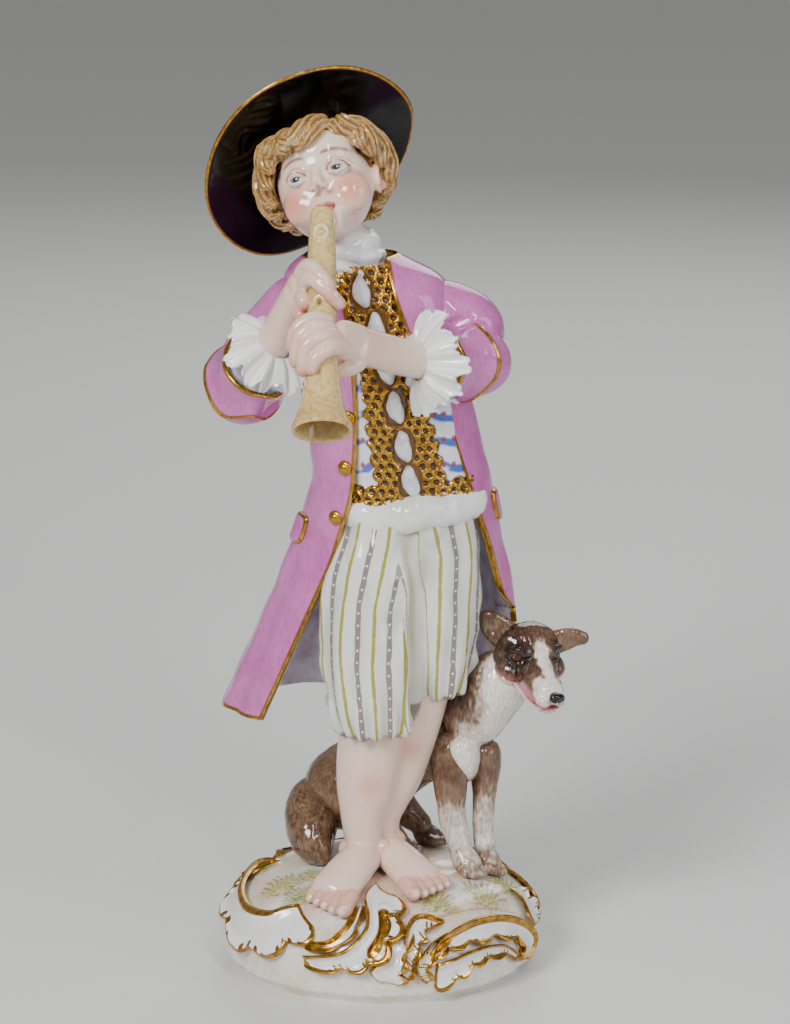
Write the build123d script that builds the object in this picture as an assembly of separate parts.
from build123d import *
from math import cos, hypot, pi, radians, sin, sqrt
import os

# Porcelain figurine: a barefoot boy in a long coat plays a flute, with a dog seated behind him,
# on a mound base with rococo scrolls. Every node is one piece that is cast, pressed or rolled by
# itself and luted (stuck with slip) to its neighbours before the firing.
#
# Millimetres. +Z is up, the boy looks towards -Y, and the origin is the middle of the resting face.
# "Right" and "left" are the boy's own, so his right hand is on the -X side.

# ---------------------------------------------------------------- driving dimensions
FIGURE_HEIGHT = 142.5     # from the ground that the boy stands on to the highest point of his hat
DOG_HEIGHT = 46.5         # from the ground that the dog sits on to the tip of its raised ear

BASE_RADIUS = 28.0
BASE_HEIGHT = 17.5        # from the table to the top of the mound
BASE_RIM = 6.0            # height of the upright rim under the mound
BASE_WALL = 3.0
FOOT_RING = 2.2           # width of the ring that the base stands on
PLATE_THICKNESS = 2.5     # disc that closes the hollow base
PLATE_LEDGE = 1.5         # shelf inside the base that the disc is seated against
PLATE_CLEARANCE = 0.1
VENT_RADIUS = 2.0         # hole that lets hot air out of the hollow base in the kiln
VENT_OFFSET = 9.0         # from the middle of the disc towards the back
SCROLL_WIDTH = 4.4        # of the widest scroll
SCROLL_RELIEF = 1.7       # how far a scroll stands off the mound

BODY_WALL = 2.2           # hollow castings of waistcoat, breeches and dog
COAT_WALL = 1.5
SEAT = 0.5                # how deep a luted piece is let into its neighbour
BUTTON_RADIUS = 1.35
BUTTON_HEIGHT = 0.9
FLAP_THICKNESS = 0.9      # pocket flaps
CUFF_WALL = 1.3
RUFFLE_WALL = 1.2
FINGER_RADIUS = 1.25

FLUTE_LENGTH = 40.5
FLUTE_RADIUS = 2.45
FLUTE_BORE = 1.1
FLUTE_BELL_RADIUS = 5.1
FLUTE_BELL_LENGTH = 13.0
FLUTE_HOLE_RADIUS = 0.55

HAT_RADIUS = 20.0         # of the brim
HAT_THICKNESS = 1.3
HAT_DISH = 2.6            # how far the brim's edge bends out of its plane
CROWN_RADIUS = 8.6
CROWN_HEIGHT = 7.0

# ---------------------------------------------------------------- drawing scales
DRAWN_FIGURE = 142.5      # the sizes at which the stations below are written down
DRAWN_DOG = 46.5
DRAWN_BASE = 17.5
DOG_SEAT = (4.0, 7.0)     # the dog grows and shrinks about this point of the ground
K = FIGURE_HEIGHT / DRAWN_FIGURE
KD = DOG_HEIGHT / DRAWN_DOG


def ground(x, y):
    """Height of the mound's surface over the table at a place."""
    share = min(1.0, hypot(x, y) / BASE_RADIUS)
    return BASE_RIM + (BASE_HEIGHT - BASE_RIM) * sqrt(1 - share ** 3)


def boy(x, y, z):
    """A point of the boy, z being its height over the ground that he stands on."""
    return Vector(K * x, K * y, BASE_HEIGHT + K * z)


def boy_foot(x, y, z):
    """A point of the boy's feet, z being its height over the mound right below it."""
    return Vector(K * x, K * y, ground(K * x, K * y) + K * z)


def dog_place(x, y):
    return DOG_SEAT[0] + KD * (x - DOG_SEAT[0]), DOG_SEAT[1] + KD * (y - DOG_SEAT[1])


def dog(x, y, z):
    """A point of the dog, z being its height over the ground under its seat."""
    px, py = dog_place(x, y)
    return Vector(px, py, ground(*DOG_SEAT) + KD * z)


def dog_foot(x, y, z):
    """A point of the dog's paws or tail, z being its height over the mound right below it."""
    px, py = dog_place(x, y)
    return Vector(px, py, ground(px, py) + KD * z)


# ---------------------------------------------------------------- shaping helpers
def section(point, along, across, half_width, half_depth):
    """An ellipse square to the direction "along", its first half axis lying towards "across"."""
    sideways = (across - along * across.dot(along)).normalized()
    return Plane(origin=point, x_dir=sideways, z_dir=along) * Ellipse(half_width, half_depth)


def limb(stations, across=(1, 0, 0), round_start=True, round_end=True):
    """A solid through elliptical stations (point, half width, half depth), with rounded ends."""
    points = [station[0] for station in stations]
    widths = [station[1] for station in stations]
    depths = [station[2] for station in stations]
    across = Vector(*across)
    last = len(points) - 1
    along = [(points[min(i + 1, last)] - points[max(i - 1, 0)]).normalized() for i in range(last + 1)]
    sections = [section(*row) for row in zip(points, along, [across] * (last + 1), widths, depths)]
    if round_start:
        sections = end_cap(points[0], along[0] * -1, along[0], across, widths[0], depths[0])[::-1] + sections
    if round_end:
        sections += end_cap(points[last], along[last], along[last], across, widths[last], depths[last])
    return loft(sections)


def end_cap(point, outward, along, across, half_width, half_depth):
    """The stations that round off the end of a limb, down to a small flat."""
    reach = min(half_width, half_depth)
    cap = []
    for angle in (35, 62, 82):
        shrink = cos(radians(angle))
        place = point + outward * (reach * sin(radians(angle)))
        cap.append(section(place, along, across, half_width * shrink, half_depth * shrink))
    return cap


def body_limb(rows, **ends):
    """A limb of the boy from rows of x, y, z, half width, half depth."""
    return limb([(boy(x, y, z), K * a, K * b) for x, y, z, a, b in rows], **ends)


def hull(rows):
    """A flat-ended body of the boy through level ellipses: rows of x, y, z, half width, half depth."""
    return loft([Plane(origin=boy(x, y, z)) * Ellipse(K * a, K * b) for x, y, z, a, b in rows], ruled=True)


def dog_limb(rows, **ends):
    """A limb of the dog from rows of x, y, z, half width, half depth."""
    return limb([(dog(x, y, z), KD * a, KD * b) for x, y, z, a, b in rows], **ends)


def ball(point, radius):
    return Pos(*point) * Sphere(radius)


def trimmed(piece, *neighbours):
    """The piece cut back to its seats on its neighbours; crumbs that the cuts leave are dropped."""
    for neighbour in neighbours:
        piece = piece - neighbour
    return max(piece.solids(), key=lambda solid: solid.volume)


def prism(outline, y_front, y_back):
    """A block whose X-Z outline runs from y_front to y_back."""
    wire = Polyline(*[(x, y_front, z) for x, z in outline], close=True)
    return extrude(make_face(wire), amount=y_back - y_front, dir=(0, 1, 0))


def frame_of(origin, up, right):
    """A plane with its Z along "up" and its X towards "right"."""
    sideways = (right - up * right.dot(up)).normalized()
    return Plane(origin=origin, x_dir=sideways, z_dir=up)


# ---------------------------------------------------------------- the base
def mound(radius, height, rim, foot):
    """The solid mound: a round-shouldered top on an upright rim that draws in a little at the foot."""
    shares = (0, 0.3, 0.5, 0.7, 0.85, 0.95, 1)
    top = [(radius * s, rim + (height - rim) * sqrt(1 - s ** 3)) for s in shares]
    crest = Spline(*top, tangents=((1, 0), (0, -1)))
    side = Polyline((radius, rim), (radius, foot), (radius - foot, 0), (0, 0), (0, height))
    return revolve(Plane.XZ * make_face(crest + side), Axis.Z)


def make_base_shell(outer):
    cavity_radius = BASE_RADIUS - max(BASE_WALL, FOOT_RING + PLATE_LEDGE)
    cavity = mound(cavity_radius, BASE_HEIGHT - BASE_WALL, BASE_RIM, PLATE_CLEARANCE)
    rebate = Cylinder(BASE_RADIUS - FOOT_RING, PLATE_THICKNESS, align=(Align.CENTER, Align.CENTER, Align.MIN))
    return outer - cavity - rebate


def make_foot_plate():
    radius = BASE_RADIUS - FOOT_RING - PLATE_CLEARANCE
    plate = Cylinder(radius, PLATE_THICKNESS, align=(Align.CENTER, Align.CENTER, Align.MIN))
    vent = Pos(0, VENT_OFFSET, 0) * Cylinder(VENT_RADIUS, 3 * PLATE_THICKNESS)
    return plate - vent


def mound_point(angle, height):
    """The point of the mound's skin at an angle from the front and a height."""
    z = height * BASE_HEIGHT / DRAWN_BASE
    share = max(0.0, (z - BASE_RIM) / (BASE_HEIGHT - BASE_RIM))
    radius = BASE_RADIUS * (1 - share ** 2) ** (1 / 3)
    return Vector(radius * sin(radians(angle)), -radius * cos(radians(angle)), z)


def scroll_stroke(path, width_share):
    """One raised stroke of scrollwork along angles and heights, thin at both ends."""
    points = [mound_point(angle, height) for angle, height in path]
    last = len(points) - 1
    sections = []
    for i, point in enumerate(points):
        along = (points[min(i + 1, last)] - points[max(i - 1, 0)]).normalized()
        outward = Vector(point.X, point.Y, BASE_RADIUS * 0.35).normalized()
        swell = 0.4 + 0.6 * sin(pi * i / last)
        half_width = SCROLL_WIDTH / 2 * width_share * swell
        sideways = along.cross(outward).normalized()
        sections.append(section(point, along, sideways, half_width, SCROLL_RELIEF * swell))
    return loft(sections)


def make_scroll(strokes, mound_solid, *neighbours):
    """An ornament of one or more fused strokes, cut back to the mound that it is stuck on."""
    solid = scroll_stroke(*strokes[0])
    for stroke in strokes[1:]:
        solid = solid + scroll_stroke(*stroke)
    return trimmed(solid, mound_solid, *neighbours)


# Each ornament: strokes of (path of angle from the front and height, share of SCROLL_WIDTH).
SCROLLS = {
    "scroll_shell_left": [
        (((-101, 14.6), (-86, 12.6), (-71, 10.4), (-58, 9.6), (-47, 10.4), (-40, 12.4)), 1.0),
        (((-69, 10.2), (-62, 8.0), (-52, 7.0), (-44, 8.4), (-38, 10.8)), 0.7)],
    "scroll_centre": [
        (((8, 16.0), (-3, 16.2), (-10, 14.6), (-11, 11.6), (-16, 8.6), (-25, 7.4)), 0.8),
        (((2, 15.4), (-1, 12.4), (-5, 9.4), (-3, 7.0), (4, 5.8)), 0.8)],
    "scroll_acanthus": [
        (((25, 13.8), (18, 12.2), (12, 9.6), (13, 6.8), (17, 5.0)), 0.8)],
    "scroll_arch_right": [
        (((22, 6.6), (28, 9.4), (38, 11.4), (52, 11.0), (63, 8.6), (70, 5.2)), 0.8)],
    "scroll_ledge_right": [
        (((22, 3.6), (29, 4.8), (38, 6.2), (48, 5.4), (60, 3.4)), 0.6)],
    "scroll_leaf_right": [
        (((81, 14.0), (77, 12.0), (73, 9.4), (76, 6.8)), 0.6)],
    "scroll_curl_left": [
        (((-104, 14.0), (-110, 11.8), (-108, 8.6), (-99, 7.6)), 0.6)],
    "scroll_arch_back": [
        (((166, 6.6), (160, 9.6), (148, 11.6), (134, 11.2), (122, 8.8), (114, 5.4)), 0.8)],
    "scroll_shell_back": [
        (((-126, 13.8), (-138, 11.4), (-150, 9.8), (-162, 9.4), (-172, 10.6), (-179, 13.0)), 1.0)],
    "scroll_curl_back": [
        (((102, 14.2), (96, 12.2), (94, 9.2), (99, 6.8)), 0.6)],
}


# ---------------------------------------------------------------- the boy's legs and breeches
def make_right_leg():
    shin = body_limb([(0.5, -5, 33, 5.6, 5.6), (-1.7, -5, 24, 5.8, 5.6), (-2.7, -5.2, 15.5, 5.2, 5.0),
                      (-3.2, -5.4, 10.8, 4.1, 4.1), (-3.2, -5.4, 6.6, 3.4, 3.5), (-2.6, -5, 3.4, 3.3, 3.6)])
    foot = [(-1.8, -3.8, 2.2, 3.0, 2.6), (-4.0, -9.0, 3.2, 3.8, 3.3), (-7.8, -15.6, 1.5, 4.7, 2.5),
            (-9.8, -19.4, 1.0, 4.6, 1.7)]
    foot = limb([(boy_foot(x, y, z), K * a, K * b) for x, y, z, a, b in foot])
    return shin + foot


def make_left_leg():
    shin = body_limb([(8.5, 0, 37, 4.9, 4.9), (6.4, -0.6, 28, 4.8, 4.8), (3.4, -1, 18, 4.6, 4.6),
                      (1.2, -1.4, 12.5, 4.0, 4.0), (0.2, -1.6, 8, 3.2, 3.4), (0.4, -1.2, 3.6, 3.1, 3.4)])
    foot = [(0.2, 0.2, 2.2, 2.9, 2.6), (2.2, -5.2, 3.0, 3.5, 3.1), (6.4, -11.6, 1.5, 4.3, 2.3),
            (9.0, -15.4, 1.0, 4.2, 1.6)]
    foot = limb([(boy_foot(x, y, z), K * a, K * b) for x, y, z, a, b in foot])
    return shin + foot


WAIST = 68.0              # height over the ground at which breeches and waistcoat meet


def make_breeches_solid():
    hips = hull([(5, 0.4, WAIST, 11.6, 8.4), (5.4, 0, 62, 12.4, 8.8), (4.6, -0.6, 55, 12.8, 9.0),
                 (4.2, -1, 50, 11.8, 8.4), (4.4, -1, 47, 8.6, 6.4)])
    right = body_limb([(1.5, -1.5, 58, 9.4, 8.6), (-1.6, -4.2, 46, 9.4, 8.8), (-0.9, -6.4, 34, 8.0, 8.0),
                       (-0.6, -6.6, 27, 6.6, 6.8)])
    left = body_limb([(10.4, 0, 58, 7.0, 7.6), (10.2, 0, 44, 6.9, 7.4), (9.8, 0.4, 35, 6.0, 6.6)])
    return hips + right + left


def make_breeches(solid):
    wall = BODY_WALL / K
    return solid - hull([(5, 0.4, WAIST + 1, 11.6 - wall, 8.4 - wall), (5.4, 0, 62, 12.4 - wall, 8.8 - wall),
                         (4.6, -0.6, 55, 12.2 - wall, 8.4 - wall), (4.4, -0.8, 50, 8.6 - wall, 6.4 - wall)])


# ---------------------------------------------------------------- the boy's body and coat
def coat_rows(inset, overrun=0.0):
    """Stations of the coat from the collar to below the hem, drawn in by an inset; the ends overrun."""
    rows = [(-5, 1.5, 109.5 + overrun, 8.4, 7.2), (-4, 1.3, 108.2, 10.6, 7.8), (-3, 1.2, 106, 13, 8.4),
            (-1.9, 1, 103, 14.6, 9.2), (-1.3, 1, 99, 15, 9.6), (-0.2, 1, 93, 14.8, 9.9),
            (0.6, 1.2, 86.5, 14.6, 10), (2.2, 1.5, 78, 14.9, 10.4), (3.4, 2, 70.5, 15.6, 11),
            (3.3, 3, 61, 17.6, 11.9), (2.4, 4, 52.5, 20, 13), (0.4, 5.2, 40, 23, 14.1),
            (-2, 6.5, 27.5, 26, 15), (-3.2, 7.1, 21 - overrun, 27.4, 15.7)]
    return [(x, y, z, a - inset / K, b - inset / K) for x, y, z, a, b in rows]


def make_coat_solid():
    return hull(coat_rows(0))


def make_coat_shell(solid):
    shell = solid - hull(coat_rows(COAT_WALL, 0.5))
    hem = [(-45, 27), (-2, 27), (8, 29.5), (25, 41), (45, 55), (45, 10), (-45, 10)]
    hem = [(K * x, BASE_HEIGHT + K * z) for x, z in hem]
    return shell - prism(hem, -60 * K, 60 * K)


SEAM_Y = 3.0              # depth of the side seams, where the fronts of the coat meet its back


def make_front_opening():
    """The gap between the two fronts of the coat, open towards the front as far as the side seams."""
    right = [(-12.5, 118), (-12.2, 109), (-6.2, 103.5), (-4.1, 83.5), (-4.5, 70.5), (-5.3, 66.5), (-8.3, 57),
             (-12.4, 47.5), (-16.8, 37), (-20.9, 27.5), (-22.6, 20)]
    left = [(2.6, 118), (2.8, 109), (4.2, 104), (8.2, 96.5), (11.2, 83.5), (14.7, 72.5), (19.1, 59.5),
            (23.8, 42.5), (28, 20)]
    outline = [(K * x, BASE_HEIGHT + K * z) for x, z in right + left[::-1]]
    return prism(outline, -60 * K, SEAM_Y * K)


def make_waistcoat_solid():
    """The torso in its waistcoat; its shoulders are let into the coat all round."""
    shoulders = coat_rows(COAT_WALL - SEAT)[1:5]
    return hull([(5, 0.3, WAIST, 11.4, 8.2), (4.4, 0.1, 74, 11.0, 8.2), (3.4, 0, 80, 11.0, 8.2),
                 (2, 0, 87, 11.6, 8.3), (0.6, 0.4, 93, 12.4, 8.4)] + shoulders[::-1])


def make_waistcoat(solid):
    wall = BODY_WALL / K
    return solid - hull([(5, 0.3, WAIST - 1, 11.4 - wall, 8.2 - wall), (4.4, 0.1, 74, 11.0 - wall, 8.2 - wall),
                         (3.4, 0, 80, 11.0 - wall, 8.2 - wall), (2, 0, 87, 11.2 - wall, 8.0 - wall),
                         (0.6, 0.4, 94, 8.0 - wall, 6.6 - wall)])


def make_shirt_roll():
    """The shirt that is bunched out over the waistband, as a ring round the waist."""
    return hull([(4.9, 0.2, 62.2, 12.2, 9.0), (4.9, 0.2, 63.6, 13.0, 10.3), (4.9, 0.2, 65.6, 13.2, 10.8),
                 (5.0, 0.2, 67.6, 12.8, 10.2), (5.1, 0.2, 69.4, 11.7, 8.8)])


PUFFS = [(-3.2, 104.2), (-0.6, 98.0), (1.0, 91.3), (2.6, 84.5), (4.0, 77.6), (5.2, 71.4)]


def make_shirt_puffs(waistcoat, *neighbours):
    """Six puffs of shirt linen that show through the slashed front of the waistcoat."""
    puffs = []
    for x, z in PUFFS:
        ray = Pos(*boy(x, -20, z)) * Box(0.5, 40 * K, 0.5)
        front = (ray & waistcoat).bounding_box().min.Y
        puff = Pos(K * x, front + 0.4, BASE_HEIGHT + K * z) * scale(Sphere(1), by=(1.5 * K, 1.3 * K, 2.7 * K))
        puffs.append(trimmed(puff, waistcoat, *neighbours))
    return puffs


COAT_BUTTONS = [(-5.6, 82.5), (-6.0, 73.6), (-7.6, 64.6)]


def make_coat_buttons(coat_solid):
    """Three gilt buttons in a row beside the edge of the coat's right front."""
    buttons = []
    for x, z in COAT_BUTTONS:
        ray = Pos(*boy(x, -20, z)) * Box(0.4, 40 * K, 0.4)
        front = (ray & coat_solid).bounding_box().min.Y
        disc = Rot(90, 0, 0) * Cylinder(BUTTON_RADIUS, 2 * BUTTON_HEIGHT)
        disc = Pos(K * x, front, BASE_HEIGHT + K * z) * Rot(0, 0, -25) * disc
        buttons.append(trimmed(disc, coat_solid))
    return buttons


def make_pocket_flap(coat_solid, side, x, y, z):
    """A flap that stands off the coat's side, as thick as FLAP_THICKNESS."""
    patch = Pos(*boy(x, y, z)) * Rot(0, side * 8, 0) * Box(7 * K, 6.5 * K, 3.6 * K)
    skin = hull(coat_rows(-FLAP_THICKNESS)) - coat_solid
    return max((skin & patch).solids(), key=lambda solid: solid.volume)


# ---------------------------------------------------------------- arms
def make_right_sleeve():
    upper = body_limb([(-10.5, 1.2, 102, 6.2, 6.2), (-17.5, 0.6, 95, 6.9, 6.8), (-23.6, 0, 86.5, 6.9, 6.9)])
    fore = body_limb([(-23.6, 0, 86.5, 6.9, 6.9), (-22.2, -5, 89.4, 6.7, 6.7), (-20.8, -9, 91.8, 6.4, 6.4)],
                     round_end=False)
    return upper + fore


def make_left_sleeve():
    upper = body_limb([(6.5, 1, 103, 6.0, 6.0), (13, 1.4, 97.5, 6.5, 6.4), (18.2, 1.6, 91.0, 6.2, 6.2)])
    fore = body_limb([(18.2, 1.6, 91.0, 6.2, 6.2), (14.6, -3.6, 91.4, 6.0, 6.0), (11.0, -7.6, 92.0, 5.4, 5.4)],
                     round_end=False)
    return upper + fore


def cuff_ring(start, end, radius):
    """A turned-back cuff: a flared band round the end of a sleeve."""
    outer = limb([(start, radius, radius), (end, radius + CUFF_WALL, radius + CUFF_WALL)],
                 round_start=False, round_end=False)
    inner = limb([(start, radius - CUFF_WALL, radius - CUFF_WALL), (end, radius - 0.2, radius - 0.2)],
                 round_start=False, round_end=False)
    return outer - inner


def ruffle_cone(start, end, narrow, wide):
    """A gathered frill that opens like a funnel; its throat is filled, as the frill is one with the wrist."""
    direction = (end - start).normalized()
    outer = limb([(start, narrow, narrow), (end, wide, wide)], round_start=False, round_end=False)
    mouth = limb([(start + direction * 1.5 * RUFFLE_WALL, narrow - RUFFLE_WALL, narrow - RUFFLE_WALL),
                  (end, wide - RUFFLE_WALL, wide - RUFFLE_WALL),
                  (end + direction, wide - RUFFLE_WALL, wide - RUFFLE_WALL)],
                 round_start=False, round_end=False)
    return outer - mouth


def make_hand(arm, fingers):
    """Wrist and palm in one limb, and four fingers side by side that bend over the flute."""
    fingers = [(x, y, z, 4 * FINGER_RADIUS / K, 1.1 * FINGER_RADIUS / K) for x, y, z in fingers]
    return body_limb(arm) + body_limb(fingers, across=(0, -0.45, -0.9))


def make_right_hand():
    arm = [(-20.0, -9.6, 93.0, 3.4, 3.4), (-16.8, -13.2, 99.0, 3.2, 3.1), (-14.2, -16.2, 104.2, 2.7, 2.6),
           (-12.6, -18.8, 106.4, 3.0, 2.6), (-11.6, -20.8, 107.4, 3.2, 2.4)]
    return make_hand(arm, [(-12.2, -21.6, 107.4), (-9.2, -24.8, 107.0), (-6.2, -23.8, 105.4)])


def make_left_hand():
    arm = [(12.0, -6.5, 92.0, 3.2, 3.2), (7.0, -11.5, 93.4, 3.1, 3.0), (2.4, -17.0, 95.2, 2.7, 2.5),
           (-2.2, -22.4, 97.2, 3.2, 2.5), (-4.8, -25.6, 98.2, 3.2, 2.3)]
    return make_hand(arm, [(-4.6, -26.6, 98.4), (-7.6, -31.2, 97.6), (-11.4, -31.8, 95.6)])


# ---------------------------------------------------------------- the flute
FLUTE_TOP = (-9.8, -13.0, 119.5)
FLUTE_AIM = Vector(0.3, -23.0, -33.2).normalized()


def flute_frame():
    """The flute's own frame: origin at its mouth end, Z along the tube to the bell."""
    return frame_of(boy(*FLUTE_TOP), FLUTE_AIM, Vector(1, 0, 0))


def make_flute_solid():
    """The flute's outer form: a beaked top, a slightly swelling tube and a bell with a lip."""
    bell_start = FLUTE_LENGTH - FLUTE_BELL_LENGTH
    tube = FLUTE_RADIUS
    bell = FLUTE_BELL_RADIUS
    lip = 0.9
    side = Polyline((0, 0), (0.78 * tube, 0), (0.86 * tube, 5), (tube, 8))
    body = Line((tube, 8), (tube * 1.08, bell_start))
    flare = Spline((tube * 1.08, bell_start), (tube + 0.25 * (bell - tube), FLUTE_LENGTH - 6),
                   (bell, FLUTE_LENGTH - lip))
    end = Polyline((bell, FLUTE_LENGTH - lip), (bell, FLUTE_LENGTH), (0, FLUTE_LENGTH), (0, 0))
    profile = make_face(side + body + flare + end)
    return flute_frame() * revolve(Plane.XZ * profile, Axis.Z)


def make_flute(solid):
    frame = flute_frame()
    bell_start = FLUTE_LENGTH - FLUTE_BELL_LENGTH
    wall = 0.9
    bore = frame * Pos(0, 0, 3 + bell_start / 2) * Cylinder(FLUTE_BORE, bell_start)
    mouth = Polyline((0, bell_start), (FLUTE_BORE, bell_start), (FLUTE_BORE, FLUTE_LENGTH - 7))
    flare = Spline((FLUTE_BORE, FLUTE_LENGTH - 7), (FLUTE_BELL_RADIUS - wall - 1.6, FLUTE_LENGTH - 2.4),
                   (FLUTE_BELL_RADIUS - wall, FLUTE_LENGTH + 0.01))
    close = Polyline((FLUTE_BELL_RADIUS - wall, FLUTE_LENGTH + 0.01), (0, FLUTE_LENGTH + 0.01), (0, bell_start))
    hollow = frame * revolve(Plane.XZ * make_face(mouth + flare + close), Axis.Z)
    flute = solid - bore - hollow
    for share in (0.36, 0.44, 0.62):
        hole = Pos(0, 0, share * FLUTE_LENGTH) * Rot(90, 0, 0) * Cylinder(FLUTE_HOLE_RADIUS, 6)
        flute -= frame * Pos(0, 3, 0) * hole
    return flute


# ---------------------------------------------------------------- head, hair and hat
HEAD = (-9.8, -1.5, 123.0)


def head_frame():
    """The head's own frame: origin between the ears, Z through the crown, -Y out of the face."""
    up = Vector(0, 0, 1).rotate(Axis.Y, -20).rotate(Axis.X, -6).rotate(Axis.Z, -20)
    right = Vector(1, 0, 0).rotate(Axis.Y, -20).rotate(Axis.X, -6).rotate(Axis.Z, -20)
    return frame_of(boy(*HEAD), up, right)


def head_limb(rows, **ends):
    """A limb in the head's frame from rows of x, y, z, half width, half depth."""
    return head_frame() * limb([(Vector(x, y, z) * K, K * a, K * b) for x, y, z, a, b in rows], **ends)


def make_head():
    """Skull, a plain nose, ears and the neck that is socketed into the waistcoat."""
    egg = head_limb([(0, -5.0, -9.6, 3.4, 3.0), (0, -4.0, -7.4, 5.6, 5.2), (0, -2.0, -4, 7.4, 7.4),
                     (0, -0.5, 0, 8.4, 9.0), (0, 0.3, 4, 8.5, 9.4), (0, 0.5, 7.2, 7.2, 8.0)])
    nose = head_limb([(0, -8.6, 1.6, 0.9, 1.2), (0, -9.6, -1.4, 1.3, 1.5)])
    neck = body_limb([(-4.6, 0.8, 103, 4.7, 4.6), (-6.4, 0.2, 110, 4.4, 4.4), (-8.2, 0, 117, 4.5, 4.8)],
                     round_start=False)
    head = egg + nose + neck
    for side in (-1, 1):
        head += head_limb([(side * 8.4, 1.2, -2.2, 0.9, 1.3), (side * 8.9, 1.4, 0.6, 1.0, 1.9)])
    return head


def make_hair(head):
    """The cap of carved locks over the skull, open over the face."""
    cap = scale(Sphere(1), by=(10.0 * K, 10.8 * K, 10.0 * K))
    cap = head_frame() * Pos(0, 1.6 * K, 1.8 * K) * cap
    face = head_frame() * Pos(0, -13 * K, -7.2 * K) * Box(14.6 * K, 20 * K, 24 * K)
    hair = cap - face
    nape = [(x, 7.0 - 0.12 * x * x, -6.5, 2.6, 2.6) for x in (-6, -3, 0, 3, 6)]
    for x, y, z, a, b in nape:
        hair += head_limb([(x, y - 1, z + 7, a, b), (x, y, z, a * 0.7, b * 0.7)])
    return trimmed(hair, head)


HAT = (-13.2, 6.0, 126.5)


def hat_frame():
    """The hat's own frame: origin in the middle of the brim, Z out through the crown."""
    return frame_of(boy(*HAT), Vector(-0.43, 0.77, 0.48).normalized(), Vector(1, 0, 0))


def make_hat_brim():
    """The broad brim, a thin dish whose edge bends towards the face."""
    rim, thick = HAT_RADIUS, HAT_THICKNESS
    far = Spline((0, thick), (0.6 * rim, thick - 0.25 * HAT_DISH), (rim, thick - HAT_DISH),
                 tangents=((1, 0), (1, -0.35)))
    edge = Line((rim, thick - HAT_DISH), (rim, -HAT_DISH))
    near = Spline((rim, -HAT_DISH), (0.6 * rim, -0.25 * HAT_DISH), (0, 0), tangents=((-1, 0.35), (-1, 0)))
    face = make_face(far + edge + near + Line((0, 0), (0, thick)))
    brim = revolve(Plane.XZ * face, Axis.Z)
    return hat_frame() * brim


def make_hat_crown():
    """The low round crown behind the head, hollow so that the head can reach into it."""
    dome = scale(Sphere(1), by=(CROWN_RADIUS, CROWN_RADIUS, CROWN_HEIGHT + HAT_THICKNESS))
    hollow = scale(Sphere(1), by=(CROWN_RADIUS - 1.5, CROWN_RADIUS - 1.5, CROWN_HEIGHT + HAT_THICKNESS - 1.5))
    upper = Pos(0, 0, 2 * CROWN_HEIGHT) * Box(4 * CROWN_RADIUS, 4 * CROWN_RADIUS, 4 * CROWN_HEIGHT)
    return hat_frame() * ((dome - hollow) & upper)


def make_cravat():
    """The folded neckcloth, a ring round the neck."""
    ring = body_limb([(-5.4, 0.4, 106.0, 6.4, 6.2), (-5.8, 0, 107.8, 7.6, 7.2), (-6.3, -0.4, 110.4, 7.4, 7.0),
                      (-6.8, -0.7, 112.6, 6.6, 6.4), (-7.0, -0.8, 113.6, 5.4, 5.4)],
                     round_start=False, round_end=False)
    return ring


# ---------------------------------------------------------------- the dog
def make_dog_body_solid():
    return dog_limb([(-11.5, 9.4, 4.6, 6.2, 6.4), (-8.0, 9.5, 8.6, 8.2, 8.0), (-2.5, 9.2, 13.0, 8.6, 8.0),
                     (4.0, 7.8, 18.0, 7.8, 7.4), (9.5, 5.8, 21.4, 7.2, 7.0), (14.0, 4.2, 24.0, 6.6, 6.6)],
                    across=(0, 1, 0))


def make_dog_body(solid):
    wall = BODY_WALL / KD
    cavity = dog_limb([(-8.0, 9.5, 8.6, 7.0 - wall, 6.8 - wall), (-2.5, 9.2, 13.0, 8.0 - wall, 7.4 - wall),
                       (4.0, 7.8, 18.0, 7.2 - wall, 6.8 - wall)], across=(0, 1, 0))
    vent = dog_limb([(-4.0, 9.3, 12.0, 1.0, 1.0), (-4.0, 9.3, -6.0, 1.0, 1.0)], round_start=False, round_end=False)
    return solid - cavity - vent


def make_dog_neck():
    return dog_limb([(13.0, 4.4, 22.0, 6.6, 6.4), (17.5, 2.6, 28.6, 6.4, 6.2), (22.5, 0.8, 35.0, 5.8, 5.8)],
                    across=(0, 1, 0))


def make_dog_head():
    """Skull and muzzle in one, tapering towards the nose."""
    return dog_limb([(23.6, 3.2, 38.6, 4.8, 4.8), (25.6, 0.6, 38.6, 6.0, 5.4), (27.4, -2.2, 37.0, 5.0, 4.6),
                     (28.8, -4.8, 35.4, 3.7, 3.4), (29.9, -7.0, 34.2, 3.0, 2.7), (30.8, -9.0, 33.2, 2.4, 2.1)])


def make_dog_ear(rows, across):
    return dog_limb(rows, across=across)


DOG_EAR_RIGHT = [(22.0, 1.0, 41.6, 2.4, 1.3), (19.2, 1.6, 43.6, 2.4, 1.0), (16.6, 2.0, 46.0, 0.9, 0.6)]
DOG_EAR_LEFT = [(30.6, 0.6, 40.4, 2.0, 1.2), (34.6, 1.2, 40.4, 2.0, 0.9), (37.6, 1.8, 40.2, 0.8, 0.6)]


def make_dog_leg(upper, paw):
    """A leg from rows in the dog's own place, ending in a paw that lies on the mound."""
    stations = [(dog(x, y, z), KD * a, KD * b) for x, y, z, a, b in upper]
    stations += [(dog_foot(x, y, z), KD * a, KD * b) for x, y, z, a, b in paw]
    return limb(stations)


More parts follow.
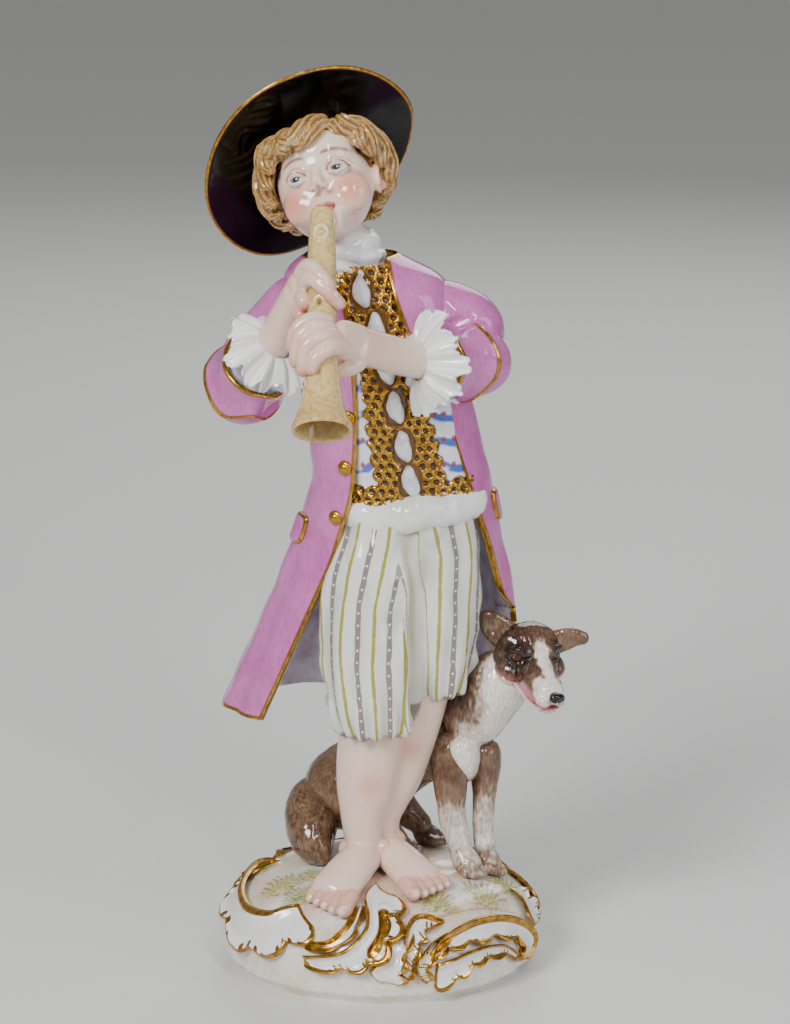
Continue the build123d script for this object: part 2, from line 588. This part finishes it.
DOG_LEGS = {
    "dog_foreleg_right": (
        [(12.6, 0.6, 21.0, 4.2, 4.0), (12.4, -1.6, 14.0, 3.0, 3.0), (13.2, -2.6, 8.0, 2.3, 2.3)],
        [(14.4, -4.2, 3.4, 2.2, 2.2), (16.2, -6.6, 1.7, 2.6, 2.1), (17.4, -8.6, 1.2, 2.5, 1.5)]),
    "dog_foreleg_left": (
        [(18.6, 3.0, 20.0, 3.4, 3.4), (18.4, 2.2, 13.0, 2.3, 2.3), (18.2, 1.4, 7.0, 1.9, 1.9)],
        [(18.6, 0.2, 3.4, 2.0, 2.0), (19.4, -1.6, 1.8, 2.3, 2.0), (20.2, -3.2, 1.2, 2.2, 1.4)]),
    "dog_hind_leg_right": (
        [(-6.0, 3.4, 7.0, 4.6, 5.2), (-1.0, 2.4, 6.0, 3.6, 4.2)],
        [(3.4, 1.2, 2.4, 2.3, 2.0), (6.4, 0.0, 1.4, 2.3, 1.6)]),
    "dog_hind_leg_left": (
        [(-2.0, 14.4, 8.0, 4.4, 5.0), (3.0, 14.0, 5.6, 3.4, 3.8)],
        [(8.0, 11.6, 2.2, 2.2, 2.0), (11.4, 9.4, 1.4, 2.2, 1.6)]),
}


def make_dog_tail():
    """The bushy tail that curls round the dog's right side along the ground."""
    rows = [(-11.5, 12.5, 3.0, 3.4, 3.4), (-16.0, 9.2, 3.4, 4.2, 4.4), (-16.2, 3.6, 3.4, 4.0, 4.2),
            (-12.6, -0.8, 2.2, 2.6, 2.8), (-9.4, -2.6, 1.2, 1.3, 1.4)]
    stations = [(dog_foot(x, y, z), KD * a, KD * b) for x, y, z, a, b in rows]
    return limb(stations, across=(0, 0, 1))


# ---------------------------------------------------------------- assembly
def make_base(pieces):
    solid = mound(BASE_RADIUS, BASE_HEIGHT, BASE_RIM, 0.6)
    pieces["base_shell"] = make_base_shell(solid)
    pieces["foot_plate"] = make_foot_plate()
    return solid


def make_boy(pieces, base):
    breeches = make_breeches_solid()
    waistcoat = make_waistcoat_solid()
    coat = make_coat_solid()
    opening = make_front_opening()

    right_leg = trimmed(make_right_leg(), base)
    left_leg = trimmed(make_left_leg(), base, right_leg)
    pieces["right_leg"] = right_leg
    pieces["left_leg"] = left_leg
    pieces["breeches"] = trimmed(make_breeches(breeches), right_leg, left_leg)

    head = make_head()
    flute = make_flute_solid()
    pieces["waistcoat"] = trimmed(make_waistcoat(waistcoat), head)
    pieces["shirt_roll"] = trimmed(make_shirt_roll(), breeches, waistcoat)
    cravat = trimmed(make_cravat(), head, waistcoat)
    pieces["cravat"] = cravat
    pieces["shirt_puffs"] = Compound(make_shirt_puffs(waistcoat, cravat, pieces["shirt_roll"]))
    pieces["head"] = trimmed(head, flute)

    cloth = make_coat_shell(coat)
    inside = [waistcoat, breeches, pieces["shirt_roll"], cravat]
    behind = Pos(0, (SEAM_Y + 100) * K, BASE_HEIGHT) * Box(400 * K, 200 * K, 600 * K)
    pieces["coat_back"] = trimmed(cloth & behind, *inside)
    fronts = cloth - behind - opening
    for other in inside:
        fronts = fronts - other
    fronts = sorted(fronts.solids(), key=lambda solid: -solid.volume)[:2]
    fronts = sorted(fronts, key=lambda solid: solid.center().X)
    pieces["coat_front_right"], pieces["coat_front_left"] = fronts
    pieces["coat_buttons"] = Compound(make_coat_buttons(coat))
    pieces["pocket_flap_right"] = make_pocket_flap(coat, -1, -15.5, -2.5, 61.0)
    pieces["pocket_flap_left"] = make_pocket_flap(coat, 1, 20.0, -1.0, 66.0)
    make_arms(pieces, coat, flute, waistcoat)
    pieces["flute"] = make_flute(flute)
    make_headwear(pieces)
    return pieces["coat_back"], pieces["coat_front_left"], breeches, right_leg, left_leg


def make_arms(pieces, coat, flute, waistcoat):
    right_hand = trimmed(make_right_hand(), flute)
    left_hand = trimmed(make_left_hand(), flute, right_hand, coat, waistcoat)
    pieces["right_hand"] = right_hand
    pieces["left_hand"] = left_hand
    pieces["sleeve_right"] = trimmed(make_right_sleeve(), coat, right_hand)
    pieces["sleeve_left"] = trimmed(make_left_sleeve(), coat, left_hand, waistcoat)
    cuff = cuff_ring(boy(-22.0, -5.6, 89.6), boy(-20.2, -10.6, 93.0), 6.7 * K)
    pieces["cuff_right"] = trimmed(cuff, pieces["sleeve_right"], right_hand, coat)
    cuff = cuff_ring(boy(14.0, -4.4, 91.4), boy(9.6, -9.2, 92.2), 5.9 * K)
    pieces["cuff_left"] = trimmed(cuff, pieces["sleeve_left"], left_hand, coat, waistcoat)
    frill = ruffle_cone(boy(-20.4, -9.8, 93.0), boy(-18.0, -13.2, 97.4), 4.6 * K, 8.2 * K)
    pieces["ruffle_right"] = trimmed(frill, pieces["sleeve_right"], pieces["cuff_right"], right_hand, coat)
    frill = ruffle_cone(boy(10.4, -8.2, 92.2), boy(5.6, -12.6, 93.4), 4.4 * K, 8.4 * K)
    pieces["ruffle_left"] = trimmed(frill, pieces["sleeve_left"], pieces["cuff_left"], left_hand, coat, waistcoat)


def make_headwear(pieces):
    head = pieces["head"]
    hair = trimmed(make_hair(head), pieces["cravat"], pieces["coat_back"])
    crown = trimmed(make_hat_crown(), head, hair)
    brim = trimmed(make_hat_brim(), head, hair, crown)
    pieces["hair"] = hair
    pieces["hat_crown"] = crown
    pieces["hat_brim"] = brim


def make_dog(pieces, base, boy_parts):
    body = trimmed(make_dog_body_solid(), base, *boy_parts)
    pieces["dog_body"] = trimmed(make_dog_body(body), base)
    neck = trimmed(make_dog_neck(), body, *boy_parts)
    head = trimmed(make_dog_head(), neck, *boy_parts)
    pieces["dog_neck"] = neck
    pieces["dog_head"] = head
    pieces["dog_ear_right"] = trimmed(make_dog_ear(DOG_EAR_RIGHT, (0, 0, 1)), head, neck, *boy_parts)
    pieces["dog_ear_left"] = trimmed(make_dog_ear(DOG_EAR_LEFT, (0, 0, 1)), head, neck, *boy_parts)
    done = [body, neck]
    for name, rows in DOG_LEGS.items():
        leg = trimmed(make_dog_leg(*rows), base, *done, *boy_parts)
        pieces[name] = leg
        done.append(leg)
    pieces["dog_tail"] = trimmed(make_dog_tail(), base, *done, *boy_parts)


def make_scrolls(pieces, base):
    feet = [pieces[name] for name in ("right_leg", "left_leg", "dog_foreleg_right", "dog_foreleg_left")]
    done = []
    for name, strokes in SCROLLS.items():
        pieces[name] = make_scroll(strokes, base, *feet, *done)
        done.append(pieces[name])


def main():
    pieces = {}
    base = make_base(pieces)
    boy_parts = make_boy(pieces, base)
    make_dog(pieces, base, boy_parts)
    make_scrolls(pieces, base)
    os.makedirs("parts", exist_ok=True)
    for name, piece in pieces.items():
        export_step(piece, f"parts/{name}.step")
        print(f"{name:22s} {piece.volume:10.1f} mm3")


main()
